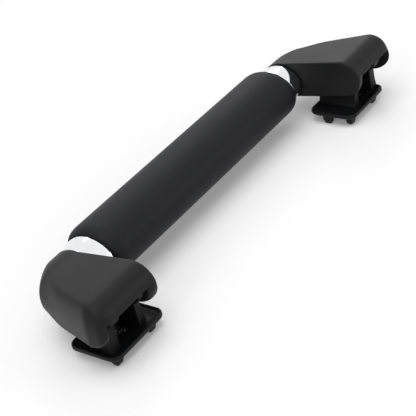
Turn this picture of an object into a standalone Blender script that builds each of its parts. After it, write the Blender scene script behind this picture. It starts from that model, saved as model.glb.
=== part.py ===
"""Folding roof grab handle: a padded bar between two arms that swing on two screw-down brackets.

Every size below is in millimetres. +X runs along the bar to its far end, +Y from the hinge towards
the bar, +Z away from the roof panel. The origin lies midway between the two brackets, in the plane
of their feet, which is the plane of the panel that the handle is screwed to.
"""
import math

import bmesh
import bpy
from mathutils import Vector

MM = 0.001
GAP = 0.3                      # seat clearance between pieces that touch
RUNNING_GAP = 0.28             # radial clearance of a piece that turns

# Where the main lines of the handle lie.
BRACKET_PITCH = 184.0          # centre to centre of the two brackets
HINGE_Y = -6.9
HINGE_Z = 22.3
BAR_Y = 26.7
BAR_Z = 17.6

# Arms: a thick slab that leans down to the bar, round at the nose and oval round the bar's end.
NOSE_RADIUS = 9.1
ELBOW_HALF_HEIGHT = 9.05
ELBOW_HALF_LENGTH = 11.4
ELBOW_SHORT_OF_BAR = 0.9       # the oval end's centre, short of the bar's centre line
ELBOW_ABOVE_BAR = 0.5          # and above it
ARM_INBOARD = 11.7             # bracket centre to the arm's inner face, at the hinge
ARM_OUTBOARD = 21.5            # bracket centre to the arm's outer face, at the hinge
INNER_SPLAY = 0.015            # how far the inner face leans to the bar, mm for each mm along Y
OUTER_TAPER = 0.325            # how fast the outer face narrows towards the bar
CORNER_START = 33.5            # where the big outer corner leaves the side, ahead of the hinge
CORNER_DROP = 17.4             # how far the corner pulls in by the end of the arm
CORNER_SHAPE = 1.32            # 2 would be a quarter of an ellipse; less is closer to a straight cut
CREASE_RADIUS = 0.5            # crisp edge between the top and the inner face
NOSE_EDGE_RADIUS = 2.3         # the same edge where it runs round the nose
SHOULDER_RADIUS = 3.8          # soft edge between the top and the outer face
SKIRT_RADIUS = 1.9             # edge between the underside and the outer face
INNER_SKIRT_RADIUS = 0.8       # edge between the underside and the inner face
ROUNDING_GROWTH = 24.0         # the outer edges soften to a full round over this length
NOSE_CORNER = 4.4              # seen from above, the round corner where the nose meets the side
ARM_SKIN = 2.6                 # wall over the pocket
INNER_CHEEK = 4.9              # side walls of the pocket
OUTER_CHEEK = 2.8
OUTER_CHEEK_REAR = 2.3
POCKET_END = 20.8              # rear wall of the pocket, from the hinge
LIP_ANGLE = 12.0               # the nose ends this far above hinge height

# Bar: an oval tube inside a thick soft sleeve, with a bright ring at each end.
TUBE_HALF_WIDTH = 8.6
TUBE_HALF_HEIGHT = 5.7
TUBE_WALL = 1.5
TUBE_IN_ARM = 7.0              # how deep the tube's end sits in the arm
GRIP_HALF_WIDTH = 15.1
GRIP_HALF_HEIGHT = 11.9
GRIP_SHOULDER = 5.5
GRIP_SHOULDER_DROP = 2.0
RING_LENGTH = 9.0
RING_HALF_WIDTH = 12.7         # at the sleeve; the ring narrows to the arm
RING_HALF_HEIGHT = 9.6
RING_NARROWS_WIDTH = 2.1
RING_NARROWS_HEIGHT = 1.3

# Brackets: a rimmed tray on short feet, and a hollow neck that carries the hinge.
TRAY_LOW = 17.6                # bracket centre to the tray's -X side; the same part serves both ends
TRAY_HIGH = 14.9               # and to its +X side
TRAY_FRONT = -13.4
TRAY_REAR = 11.3
TRAY_CORNER = 4.4
FOOT_HEIGHT = 3.9
RIM_HEIGHT = 2.4
RIM_WALL = 1.1
FLOOR_THICKNESS = 1.5
NECK_INNER = 6.4               # bracket centre to the neck's inner wall
NECK_OUTER_FRONT = 13.8        # bracket centre to its outer wall, at the front
NECK_OUTER_REAR = 11.3         # and at the back, where the arm is narrower
NECK_FLARE_HEIGHT = 10.0       # the walls spread below this height
NECK_INNER_FLARE = 1.6
NECK_OUTER_FLARE = 1.2
NECK_INNER_WALL = 3.2
NECK_OUTER_INSIDE = 9.4        # bracket centre to the inside of the outer wall
NECK_BACK = 10.6               # y of the neck's back face
NECK_BACK_WALL = 2.9
NECK_FRONT = -2.1              # front edge of the neck, from the hinge
NECK_RUNNING_GAP = 0.4         # between the hinge boss and the pocket's roof
NECK_REAR_HEIGHT = 22.2

# Hinge and fixings.
PIN_RADIUS = 2.5
PIN_SEAT = 1.6                 # depth of the blind seat in each cheek
BUSH_WALL = 0.9
BUSH_FLANGE = 0.6
SPRING_WIRE = 1.3
SPRING_RADIUS = 3.95
SPRING_TURNS = 5
DAMPER_INSET = 0.9             # how far the damper stays inside the hinge boss
DAMPER_WALL = 0.9
FIXING_HOLE_RADIUS = 4.2
FIXING_BUSH_WALL = 1.4
FIXING_HOLE_Y = -1.2
FIXING_BUSH_HEIGHT = 3.4
SCREW_RADIUS = 1.3
SCREW_HEAD_RADIUS = 2.6
SCREW_HEAD = 1.3
SCREW_FROM_END = 3.2

ROUND_SIDES = 24

BRACKET_X = BRACKET_PITCH / 2
NOSE_IN_X = BRACKET_X - ARM_INBOARD
NOSE_OUT_X = BRACKET_X + ARM_OUTBOARD
ELBOW_Y = BAR_Y - ELBOW_SHORT_OF_BAR
ELBOW_Z = BAR_Z + ELBOW_ABOVE_BAR
ARM_END_Y = ELBOW_Y + ELBOW_HALF_LENGTH
NECK_BOSS_RADIUS = NOSE_RADIUS - ARM_SKIN - NECK_RUNNING_GAP
DAMPER_RADIUS = NECK_BOSS_RADIUS - DAMPER_INSET
HOLLOW_LOW_X = BRACKET_X - NECK_INNER + NECK_INNER_WALL
HOLLOW_HIGH_X = BRACKET_X + NECK_OUTER_INSIDE
HOLLOW_CENTRE_X = (HOLLOW_LOW_X + HOLLOW_HIGH_X) / 2


for leftover in list(bpy.data.objects):
    bpy.data.objects.remove(leftover, do_unlink=True)


def material(name, colour, roughness, metallic=0.0):
    mat = bpy.data.materials.new(name)
    mat.use_nodes = True
    shader = mat.node_tree.nodes["Principled BSDF"]
    shader.inputs["Base Color"].default_value = (*colour, 1.0)
    shader.inputs["Roughness"].default_value = roughness
    shader.inputs["Metallic"].default_value = metallic
    mat.diffuse_color = (*colour, 1.0)
    return mat


ARM_PLASTIC = material("satin_arm_plastic", (0.040, 0.040, 0.041), 0.42)
GRIP_RUBBER = material("soft_grip_rubber", (0.024, 0.025, 0.027), 0.55)
BRACKET_PLASTIC = material("bracket_plastic", (0.012, 0.012, 0.013), 0.45)
BRIGHT_CHROME = material("bright_chrome", (0.82, 0.83, 0.84), 0.08, 1.0)
TUBE_ALUMINIUM = material("tube_aluminium", (0.62, 0.63, 0.65), 0.35, 1.0)
STEEL = material("zinc_plated_steel", (0.55, 0.56, 0.58), 0.35, 1.0)
ACETAL = material("natural_acetal", (0.70, 0.69, 0.65), 0.40)
BUFFER_RUBBER = material("buffer_rubber", (0.020, 0.020, 0.021), 0.75)


def add_empty(name, place):
    empty = bpy.data.objects.new(name, None)
    empty.empty_display_size = 0.01
    empty.location = Vector(place) * MM
    bpy.context.collection.objects.link(empty)
    return empty


def add_object(name, bm, mat, origin=(0, 0, 0), parent=None, smooth_angle=35.0):
    """Turns a bmesh drawn in place, in millimetres, into an object with its origin at origin."""
    bmesh.ops.remove_doubles(bm, verts=bm.verts, dist=1e-4)
    bmesh.ops.recalc_face_normals(bm, faces=bm.faces)
    bmesh.ops.translate(bm, vec=-Vector(origin), verts=bm.verts)
    bmesh.ops.scale(bm, vec=(MM, MM, MM), verts=bm.verts)
    mesh = bpy.data.meshes.new(name)
    bm.to_mesh(mesh)
    bm.free()
    mesh.materials.append(mat)
    mesh.shade_smooth()
    mesh.set_sharp_from_angle(angle=math.radians(smooth_angle))
    obj = bpy.data.objects.new(name, mesh)
    obj.location = Vector(origin) * MM
    if parent is not None:
        obj.parent = parent
        obj.location -= parent.location
    bpy.context.collection.objects.link(obj)
    return obj


def skin(loops, closed_ends=True, ring=False):
    """A bmesh skinned over loops of equal length. ring joins the last loop to the first."""
    bm = bmesh.new()
    rows = [[bm.verts.new(point) for point in loop] for loop in loops]
    count = len(rows[0])
    pairs = list(zip(rows, rows[1:]))
    if ring:
        pairs.append((rows[-1], rows[0]))
    for low, high in pairs:
        for i in range(count):
            j = (i + 1) % count
            bm.faces.new((low[i], low[j], high[j], high[i]))
    if closed_ends and not ring:
        bm.faces.new(rows[0][::-1])
        bm.faces.new(rows[-1])
    return bm


def cutter(name, bm):
    """A tool body for a Boolean: kept in the file, never part of the model."""
    obj = add_object(name, bm, STEEL)
    obj.display_type = "WIRE"
    obj.hide_render = True
    return obj


def combine(obj, tool, operation):
    modifier = obj.modifiers.new(tool.name, "BOOLEAN")
    modifier.operation = operation
    modifier.solver = "EXACT"
    modifier.object = tool


def arc(centre, radius, start, end, steps):
    """Points of a circular arc in a plane, angles in degrees."""
    points = []
    for i in range(steps + 1):
        angle = math.radians(start + (end - start) * i / steps)
        points.append((centre[0] + radius * math.cos(angle), centre[1] + radius * math.sin(angle)))
    return points


def slab_along_x(profile, x_low, x_high, side=1):
    """A (y, z) profile between two faces; each face's x is a number or a function of y."""
    faces = []
    for edge in (x_low, x_high):
        place = edge if callable(edge) else (lambda y, fixed=edge: fixed)
        faces.append([(side * place(y), y, z) for y, z in profile])
    return skin(faces)


def slab_along_y(profile, y_low, y_high, side=1):
    return skin([[(side * x, y, z) for x, z in profile] for y in (y_low, y_high)])


def turned_along_x(outline, centre, side=1, sides=ROUND_SIDES):
    """Revolves an (x, radius) outline about a line along X. The outline is a closed loop."""
    loops = []
    for i in range(sides):
        angle = 2 * math.pi * i / sides
        loops.append([(side * x, centre[0] + r * math.cos(angle), centre[1] + r * math.sin(angle))
                      for x, r in outline])
    return skin(loops, ring=True)


def rod_along_x(radius, x_low, x_high, centre, side=1, chamfer=0.0):
    """A solid rod along X with chamfered ends."""
    loops = []
    for x, r in ((x_low, radius - chamfer), (x_low + chamfer, radius),
                 (x_high - chamfer, radius), (x_high, radius - chamfer)):
        loops.append([(side * x, y, z) for y, z in arc(centre, r, 0, 360, ROUND_SIDES)[:-1]])
    return skin(loops)


def rod_along_z(levels, centre, sides=ROUND_SIDES):
    """A solid turned about a line along Z from (z, radius) levels."""
    loops = []
    for z, r in levels:
        loops.append([(x, y, z) for x, y in arc(centre, r, 0, 360, sides)[:-1]])
    return skin(loops)


def tube_along_z(outline, centre, sides=ROUND_SIDES):
    """Revolves a closed (radius, z) outline about a line along Z."""
    loops = []
    for i in range(sides):
        angle = 2 * math.pi * i / sides
        loops.append([(centre[0] + r * math.cos(angle), centre[1] + r * math.sin(angle), z)
                      for r, z in outline])
    return skin(loops, ring=True)


# Outline of an arm, seen from the side and from above.
def slab_line(sign, inset=0.0):
    """The straight top (sign 1) or underside (sign -1): where it leaves the nose, and its far end."""
    nose = NOSE_RADIUS - inset
    end = Vector((ELBOW_Y, ELBOW_Z + sign * (ELBOW_HALF_HEIGHT - inset)))
    reach = end - Vector((HINGE_Y, HINGE_Z))
    angle = math.atan2(reach.y, reach.x) + sign * math.acos(nose / reach.length)
    touch = Vector((HINGE_Y + nose * math.cos(angle), HINGE_Z + nose * math.sin(angle)))
    return touch, end, math.degrees(angle)


def edge_height(y, sign, inset=0.0):
    """Height of the arm's top (sign 1) or underside (sign -1) at y, moved in by inset."""
    touch, end, _ = slab_line(sign, inset)
    if y <= touch.x:
        nose = NOSE_RADIUS - inset
        reach = y - HINGE_Y
        return HINGE_Z + sign * math.sqrt(max(nose * nose - reach * reach, 0.0))
    if y >= ELBOW_Y:
        share = (y - ELBOW_Y) / (ELBOW_HALF_LENGTH - inset)
        height = ELBOW_HALF_HEIGHT - inset
        return ELBOW_Z + sign * height * math.sqrt(max(1.0 - share * share, 0.0))
    return touch.y + (end.y - touch.y) * (y - touch.x) / (end.x - touch.x)


def round_corner(y, radius):
    """How far a corner of this radius at the very front of the nose pulls a side in, at y."""
    short = HINGE_Y - NOSE_RADIUS + radius - y
    if short <= 0.0:
        return 0.0
    return radius - math.sqrt(max(radius * radius - short * short, 0.0))


def inner_face(y):
    """x of the arm's flat inner face, which leans towards the bar."""
    return NOSE_IN_X - INNER_SPLAY * (y - HINGE_Y) + round_corner(y, NOSE_EDGE_RADIUS)


def corner_travel(y):
    """0 where the big outer corner begins, 1 at the end of the arm."""
    start = HINGE_Y + CORNER_START
    return min(max((y - start) / (ARM_END_Y - start), 0.0), 1.0)


def outer_face(y):
    """x of the arm's outer face: a straight taper that turns into the big rounded corner."""
    side = NOSE_OUT_X - OUTER_TAPER * max(0.0, y - HINGE_Y)
    left = 1.0 - corner_travel(y) ** CORNER_SHAPE
    return side - CORNER_DROP * (1.0 - left ** (1.0 / CORNER_SHAPE)) - round_corner(y, NOSE_CORNER)


def arm_section(y, side):
    """The arm's cross-section at y: a rectangle whose four edges have their own radii."""
    top = edge_height(y, 1)
    bottom = edge_height(y, -1)
    low_x = inner_face(y)
    high_x = outer_face(y)
    back = min(max((BAR_Y - 3.0 - y) / (BAR_Y - HINGE_Y), 0.0), 1.0)
    crease = CREASE_RADIUS + (NOSE_EDGE_RADIUS - CREASE_RADIUS) * back ** 2
    growth = min(max((y - ARM_END_Y + ROUNDING_GROWTH) / (0.75 * ROUNDING_GROWTH), 0.0), 1.0)
    growth = growth * growth * (3.0 - 2.0 * growth)
    full = ELBOW_HALF_HEIGHT
    shoulder = SHOULDER_RADIUS + (full - SHOULDER_RADIUS) * growth
    skirt = SKIRT_RADIUS + (full - SKIRT_RADIUS) * growth
    limit = min(0.47 * (top - bottom), 0.42 * (high_x - low_x))
    points = []
    for x, z, radius, start in ((low_x, bottom, INNER_SKIRT_RADIUS, 180), (high_x, bottom, skirt, 270),
                                (high_x, top, shoulder, 0), (low_x, top, crease, 90)):
        radius = min(radius, limit)
        centre = (x + radius * (1 if x == low_x else -1), z + radius * (1 if z == bottom else -1))
        points += arc(centre, radius, start, start + 90, 4)
    return [(side * x, y, z) for x, z in points]


def arm_stations():
    """Places along Y where the arm's section is drawn, closer together round both ends."""
    nose = [HINGE_Y - NOSE_RADIUS * math.cos(math.radians(angle)) for angle in
            (6, 16, 27, 38, 50, 62, 75, 90)]
    body = [HINGE_Y + share * (ELBOW_Y - HINGE_Y) for share in (0.25, 0.5, 0.64, 0.76, 0.88)]
    end = [ELBOW_Y + ELBOW_HALF_LENGTH * math.sin(math.radians(angle)) for angle in
           (0, 11, 22, 33, 43, 53, 63, 73, 82)]
    return nose + body + end


def pocket_outer_wall(y):
    front = HINGE_Y - NOSE_RADIUS
    rear = HINGE_Y + POCKET_END
    front_x = NOSE_OUT_X - OUTER_CHEEK
    rear_x = outer_face(rear) - OUTER_CHEEK_REAR
    return front_x + (rear_x - front_x) * (y - front) / (rear - front)


def pocket_profile():
    """Side view of the hollow between the cheeks, open below and at the front under the lip."""
    inner = NOSE_RADIUS - ARM_SKIN
    rear = HINGE_Y + POCKET_END
    roof = arc((HINGE_Y, HINGE_Z), inner, slab_line(1, ARM_SKIN)[2], 180 - LIP_ANGLE, 8)
    lip_height = HINGE_Z + NOSE_RADIUS * math.sin(math.radians(LIP_ANGLE))
    front = HINGE_Y - NOSE_RADIUS - 3.0
    floor = edge_height(rear, -1) - 8.0
    return ([(rear, floor), (rear, edge_height(rear, 1, ARM_SKIN))] + roof
            + [(front, lip_height), (front, floor)])


def oval(half_width, half_height, steps=40):
    points = []
    for i in range(steps):
        angle = 2 * math.pi * i / steps
        points.append((BAR_Y + half_width * math.cos(angle), BAR_Z + half_height * math.sin(angle)))
    return points


def build_arm(end, side):
    arm = add_object("arm_" + end, skin([arm_section(y, side) for y in arm_stations()]), ARM_PLASTIC,
                     hinge_point(side), handle_pivot)
    pocket_in = NOSE_IN_X + INNER_CHEEK
    pocket = slab_along_x(pocket_profile(), pocket_in, pocket_outer_wall, side)
    combine(arm, cutter("pocket_" + end, pocket), "DIFFERENCE")
    bore_end = tube_end_x() + GAP
    bore = slab_along_x(oval(TUBE_HALF_WIDTH + GAP, TUBE_HALF_HEIGHT + GAP),
                        inner_face(BAR_Y) - 8.0, bore_end, side)
    combine(arm, cutter("tube_bore_" + end, bore), "DIFFERENCE")
    seat = rod_along_x(PIN_RADIUS + GAP / 2, pin_start_x() - GAP, pin_end_x() + GAP,
                       (HINGE_Y, HINGE_Z), side)
    combine(arm, cutter("pin_seats_" + end, seat), "DIFFERENCE")
    hole = rod_along_z(screw_levels(GAP), (side * screw_x(), BAR_Y), 16)
    combine(arm, cutter("screw_hole_" + end, hole), "DIFFERENCE")
    return arm


def hinge_point(side):
    return (side * BRACKET_X, HINGE_Y, HINGE_Z)


def tube_end_x():
    return inner_face(BAR_Y) + TUBE_IN_ARM


def pin_start_x():
    return NOSE_IN_X + INNER_CHEEK - PIN_SEAT


def pin_end_x():
    return pocket_outer_wall(HINGE_Y) + PIN_SEAT


def grip_end_x():
    return inner_face(BAR_Y) - GAP - RING_LENGTH - GAP


def screw_x():
    return tube_end_x() - SCREW_FROM_END


def screw_levels(clearance):
    """(z, radius) levels of the screw that locks the arm to the tube, from its head upwards."""
    underside = edge_height(BAR_Y, -1)
    head_top = underside + SCREW_HEAD
    tip = BAR_Z - TUBE_HALF_HEIGHT + TUBE_WALL + 1.5
    if clearance:
        return [(underside - 3.0, SCREW_HEAD_RADIUS + clearance),
                (head_top + clearance, SCREW_HEAD_RADIUS + clearance),
                (head_top + clearance + 0.01, SCREW_RADIUS + clearance),
                (tip + clearance, SCREW_RADIUS + clearance)]
    return [(underside + 0.1, SCREW_HEAD_RADIUS - 0.4), (underside + 0.4, SCREW_HEAD_RADIUS),
            (head_top, SCREW_HEAD_RADIUS), (head_top + 0.01, SCREW_RADIUS),
            (tip - 0.6, SCREW_RADIUS), (tip, SCREW_RADIUS * 0.4)]


def build_bar():
    half = tube_end_x()
    outside = oval(TUBE_HALF_WIDTH, TUBE_HALF_HEIGHT)
    inside = oval(TUBE_HALF_WIDTH - TUBE_WALL, TUBE_HALF_HEIGHT - TUBE_WALL)
    loops = [[(x, y, z) for y, z in section] for x, section in
             ((-half, inside), (-half, outside), (half, outside), (half, inside))]
    tube = add_object("core_tube", skin(loops, ring=True), TUBE_ALUMINIUM, (0, BAR_Y, BAR_Z),
                      handle_pivot)
    for end, side in ENDS:
        hole = rod_along_z(screw_levels(GAP), (side * screw_x(), BAR_Y), 16)
        combine(tube, cutter("tube_hole_" + end, hole), "DIFFERENCE")

    bore = oval(TUBE_HALF_WIDTH + GAP, TUBE_HALF_HEIGHT + GAP)
    grip_end = grip_end_x()
    sections = [(-grip_end, bore)]
    steps = 5
    shoulder = []
    for i in range(steps + 1):
        turn = math.pi / 2 * i / steps
        drop = GRIP_SHOULDER_DROP * (1 - math.sin(turn))
        x = grip_end - GRIP_SHOULDER * (1 - math.cos(turn))
        shoulder.append((x, oval(GRIP_HALF_WIDTH - drop, GRIP_HALF_HEIGHT - drop)))
    sections += [(-x, section) for x, section in shoulder]
    sections += shoulder[::-1]
    sections.append((grip_end, bore))
    loops = [[(x, y, z) for y, z in section] for x, section in sections]
    add_object("grip_sleeve", skin(loops, ring=True), GRIP_RUBBER, (0, BAR_Y, BAR_Z), handle_pivot)


def build_ring(end, side):
    """The bright conical ring between the sleeve and the arm, whose face its narrow end follows."""
    start = grip_end_x() + GAP
    edge = 0.35
    arm_width = RING_HALF_WIDTH - RING_NARROWS_WIDTH
    arm_height = RING_HALF_HEIGHT - RING_NARROWS_HEIGHT
    bore = oval(TUBE_HALF_WIDTH + GAP, TUBE_HALF_HEIGHT + GAP)
    loops = []
    for section, inset in ((bore, 0.0), (oval(RING_HALF_WIDTH - edge, RING_HALF_HEIGHT - edge), 0.0),
                           (oval(RING_HALF_WIDTH, RING_HALF_HEIGHT), edge)):
        loops.append([(side * (start + inset), y, z) for y, z in section])
    for section, inset in ((oval(arm_width, arm_height), edge),
                           (oval(arm_width - edge, arm_height - edge), 0.0), (bore, 0.0)):
        loops.append([(side * (inner_face(y) - GAP - inset), y, z) for y, z in section])
    add_object("trim_ring_" + end, skin(loops, ring=True), BRIGHT_CHROME,
               (side * start, BAR_Y, BAR_Z), handle_pivot)


def rounded_rectangle(x_low, x_high, y_low, y_high, radius, z, steps=4):
    points = []
    for x, y, start in ((x_high - radius, y_high - radius, 0), (x_low + radius, y_high - radius, 90),
                        (x_low + radius, y_low + radius, 180), (x_high - radius, y_low + radius, 270)):
        points += [(px, py, z) for px, py in arc((x, y), radius, start, start + 90, steps)]
    return points


def neck_side_profile():
    """Side view of the neck: straight front, round hinge boss, sloping top and upright back."""
    front = HINGE_Y + NECK_FRONT
    base = FOOT_HEIGHT + FLOOR_THICKNESS / 2
    front_angle = 180 + math.degrees(math.acos(-NECK_FRONT / NECK_BOSS_RADIUS))
    shelf = (NECK_BACK - NECK_BACK_WALL - 0.8, NECK_REAR_HEIGHT)
    away = Vector((shelf[0] - HINGE_Y, shelf[1] - HINGE_Z))
    touch = math.degrees(math.atan2(away.y, away.x) + math.acos(NECK_BOSS_RADIUS / away.length))
    boss = arc((HINGE_Y, HINGE_Z), NECK_BOSS_RADIUS, touch, front_angle, 14)
    return ([(NECK_BACK, base), (NECK_BACK, NECK_REAR_HEIGHT - 0.6),
             (NECK_BACK - 0.6, NECK_REAR_HEIGHT), shelf] + boss + [(front, base)])


def neck_outer_x(y):
    """x of the neck's outer wall, which follows the arm as it narrows to the back."""
    front = HINGE_Y + NECK_FRONT
    share = (y - front) / (NECK_BACK - front)
    return BRACKET_X + NECK_OUTER_FRONT + (NECK_OUTER_REAR - NECK_OUTER_FRONT) * share


def neck_walls(side):
    """The block between the neck's two outer faces, spreading at its foot."""
    low = FOOT_HEIGHT + FLOOR_THICKNESS / 2 - 1.0
    high = HINGE_Z + NECK_BOSS_RADIUS + 1.0
    inner = BRACKET_X - NECK_INNER
    loops = []
    for y in (-40.0, 40.0):
        outer = neck_outer_x(y)
        section = ((inner - NECK_INNER_FLARE, low), (outer + NECK_OUTER_FLARE, low),
                   (outer, NECK_FLARE_HEIGHT), (outer, high), (inner, high),
                   (inner, NECK_FLARE_HEIGHT))
        loops.append([(side * x, y, z) for x, z in section])
    return skin(loops)


def foot(x, y, length, width):
    """A short tapered foot under the tray."""
    loops = []
    for z, share in ((0.0, 0.72), (FOOT_HEIGHT * 0.55, 1.0), (FOOT_HEIGHT + FLOOR_THICKNESS / 2, 1.0)):
        half_x = length / 2 * share
        half_y = width / 2 * share
        loops.append([(x + half_x, y + half_y, z), (x - half_x, y + half_y, z),
                      (x - half_x, y - half_y, z), (x + half_x, y - half_y, z)])
    return skin(loops)


def build_bracket(end, side):
    centre = side * BRACKET_X
    low_x = centre - TRAY_LOW
    high_x = centre + TRAY_HIGH
    rim_top = FOOT_HEIGHT + RIM_HEIGHT
    chamfer = 1.0
    loops = []
    for inset, z in ((chamfer, FOOT_HEIGHT), (0.0, FOOT_HEIGHT + chamfer), (0.0, rim_top - 0.3),
                     (0.3, rim_top), (RIM_WALL - 0.2, rim_top), (RIM_WALL, rim_top - 0.2),
                     (RIM_WALL, FOOT_HEIGHT + FLOOR_THICKNESS)):
        loops.append(rounded_rectangle(low_x + inset, high_x - inset, TRAY_FRONT + inset,
                                       TRAY_REAR - inset, TRAY_CORNER - inset, z))
    bracket = add_object("bracket_" + end, skin(loops), BRACKET_PLASTIC, (centre, 0, 0), roof_frame)

    neck = cutter("neck_" + end, slab_along_x(neck_side_profile(), NOSE_IN_X - 10.0,
                                              NOSE_OUT_X + 10.0, side))
    combine(neck, cutter("neck_walls_" + end, neck_walls(side)), "INTERSECT")
    floor = FOOT_HEIGHT + FLOOR_THICKNESS
    inside = [(HOLLOW_LOW_X, floor), (HOLLOW_HIGH_X, floor),
              (HOLLOW_HIGH_X, HINGE_Z + 15.0), (HOLLOW_LOW_X, HINGE_Z + 15.0)]
    hollow = slab_along_y(inside, -40.0, NECK_BACK - NECK_BACK_WALL, side)
    combine(neck, cutter("neck_hollow_" + end, hollow), "DIFFERENCE")
    combine(bracket, neck, "UNION")

    for i, (x, y, length, width) in enumerate(foot_places(low_x, high_x, side)):
        combine(bracket, cutter(f"foot_{end}_{i}", foot(x, y, length, width)), "UNION")

    hole = rod_along_z([(FOOT_HEIGHT - 2.0, FIXING_HOLE_RADIUS),
                        (FOOT_HEIGHT + FLOOR_THICKNESS + 6.0, FIXING_HOLE_RADIUS)],
                       (side * HOLLOW_CENTRE_X, FIXING_HOLE_Y))
    combine(bracket, cutter("fixing_hole_" + end, hole), "DIFFERENCE")
    bores = rod_along_x(bush_outer_radius() + GAP / 2, NOSE_IN_X - 10.0, NOSE_OUT_X + 10.0,
                        (HINGE_Y, HINGE_Z), side)
    combine(bracket, cutter("hinge_bores_" + end, bores), "DIFFERENCE")


def foot_places(low_x, high_x, side):
    """Feet: two along the front edge, one on the side facing the grip and two along the back."""
    front = TRAY_FRONT + 4.2
    back = TRAY_REAR - 2.6
    inner = low_x + 2.4 if side > 0 else high_x - 2.7
    return ((low_x + 4.75, front, 4.6, 3.4), (low_x + 25.75, front, 4.6, 3.4),
            (inner, 1.6, 3.4, 4.6),
            (low_x + 9.4, back, 4.6, 3.4), (high_x - 3.4, back, 4.6, 3.4))


def bush_outer_radius():
    return PIN_RADIUS + RUNNING_GAP + BUSH_WALL


def build_hinge(end, side):
    axis = (HINGE_Y, HINGE_Z)
    place = hinge_point(side)
    add_object("hinge_pin_" + end,
               rod_along_x(PIN_RADIUS, pin_start_x(), pin_end_x(), axis, side, 0.4), STEEL,
               place, handle_pivot)
    bore = PIN_RADIUS + RUNNING_GAP
    outer = bush_outer_radius()
    flange = outer + 1.3
    inner_wall = BRACKET_X - NECK_INNER
    outer_wall = neck_outer_x(HINGE_Y + outer) - 0.1
    flange_low = HOLLOW_LOW_X + GAP
    flange_high = HOLLOW_HIGH_X - GAP
    outline = [(inner_wall + 0.2, bore), (flange_low + BUSH_FLANGE, bore),
               (flange_low + BUSH_FLANGE, flange), (flange_low, flange), (flange_low, outer),
               (inner_wall + 0.2, outer)]
    add_object("hinge_bush_inboard_" + end, turned_along_x(outline, axis, side), ACETAL,
               place, roof_frame)
    outline = [(flange_high - BUSH_FLANGE, bore), (outer_wall, bore), (outer_wall, outer),
               (flange_high, outer), (flange_high, flange), (flange_high - BUSH_FLANGE, flange)]
    add_object("hinge_bush_outboard_" + end, turned_along_x(outline, axis, side), ACETAL,
               place, roof_frame)


def build_fixing_bush(end, side):
    """Steel bush in the tray's floor that takes the load of the roof screw."""
    outer = FIXING_HOLE_RADIUS - GAP
    inner = outer - FIXING_BUSH_WALL
    top = FOOT_HEIGHT + FIXING_BUSH_HEIGHT
    outline = [(inner, FOOT_HEIGHT), (outer, FOOT_HEIGHT), (outer, top - 0.3), (outer - 0.3, top),
               (inner, top)]
    centre = (side * HOLLOW_CENTRE_X, FIXING_HOLE_Y)
    add_object("fixing_bush_" + end, tube_along_z(outline, centre), STEEL,
               (*centre, FOOT_HEIGHT), roof_frame)


def build_arm_screw(end, side):
    centre = (side * screw_x(), BAR_Y)
    add_object("arm_screw_" + end, rod_along_z(screw_levels(0.0), centre, 16), STEEL,
               (*centre, edge_height(BAR_Y, -1)), handle_pivot)


def build_spring(side):
    """Return spring: a coil round the near hinge pin with one leg on the neck, one on the arm."""
    start = HOLLOW_LOW_X + GAP + BUSH_FLANGE + 0.4 + SPRING_WIRE / 2
    end = HOLLOW_HIGH_X - GAP - BUSH_FLANGE - 0.4 - SPRING_WIRE / 2
    steps_per_turn = 14
    steps = int(SPRING_TURNS * steps_per_turn)
    path = []
    fixed_leg = Vector((start, HINGE_Y + SPRING_RADIUS, HINGE_Z - 9.0))
    path.append(fixed_leg)
    for i in range(steps + 1):
        turn = 2 * math.pi * SPRING_TURNS * i / steps
        x = start + (end - start) * i / steps
        path.append(Vector((x, HINGE_Y + SPRING_RADIUS * math.cos(turn),
                            HINGE_Z + SPRING_RADIUS * math.sin(turn))))
    path.append(Vector((end, HINGE_Y + SPRING_RADIUS, HINGE_Z + 2.2)))
    wire = SPRING_WIRE / 2
    loops = []
    for i, point in enumerate(path):
        before = path[max(i - 1, 0)]
        after = path[min(i + 1, len(path) - 1)]
        along = (after - before).normalized()
        side_way = Vector((1, 0, 0)) - along * along.x
        side_way.normalize()
        up_way = along.cross(side_way)
        loop = []
        for k in range(6):
            angle = math.pi / 3 * k
            spot = point + side_way * (wire * math.cos(angle)) + up_way * (wire * math.sin(angle))
            loop.append((side * spot.x, spot.y, spot.z))
        loops.append(loop)
    add_object("return_spring", skin(loops), STEEL, hinge_point(side), roof_frame)


def build_damper(side):
    """Rotary damper on the far hinge: a cup keyed to the bracket round a rotor on the pin."""
    axis = (HINGE_Y, HINGE_Z)
    start = HOLLOW_LOW_X + GAP + BUSH_FLANGE + 0.4
    end = HOLLOW_HIGH_X - GAP - BUSH_FLANGE - 0.4
    rotor_bore = PIN_RADIUS + 0.1
    rotor_radius = DAMPER_RADIUS - DAMPER_WALL - RUNNING_GAP
    lid = 1.0
    outline = [(start, rotor_bore + 1.2), (start + lid, rotor_bore + 1.2),
               (start + lid, rotor_radius + RUNNING_GAP), (end, rotor_radius + RUNNING_GAP),
               (end, DAMPER_RADIUS), (start, DAMPER_RADIUS)]
    add_object("damper_cup", turned_along_x(outline, axis, side), BRACKET_PLASTIC,
               hinge_point(side), roof_frame)
    hub_start = start + lid + GAP
    outline = [(hub_start, rotor_bore + 0.2), (end, rotor_bore + 0.2), (end, rotor_radius),
               (hub_start, rotor_radius)]
    add_object("damper_rotor", turned_along_x(outline, axis, side), ACETAL,
               hinge_point(side), handle_pivot)


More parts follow.
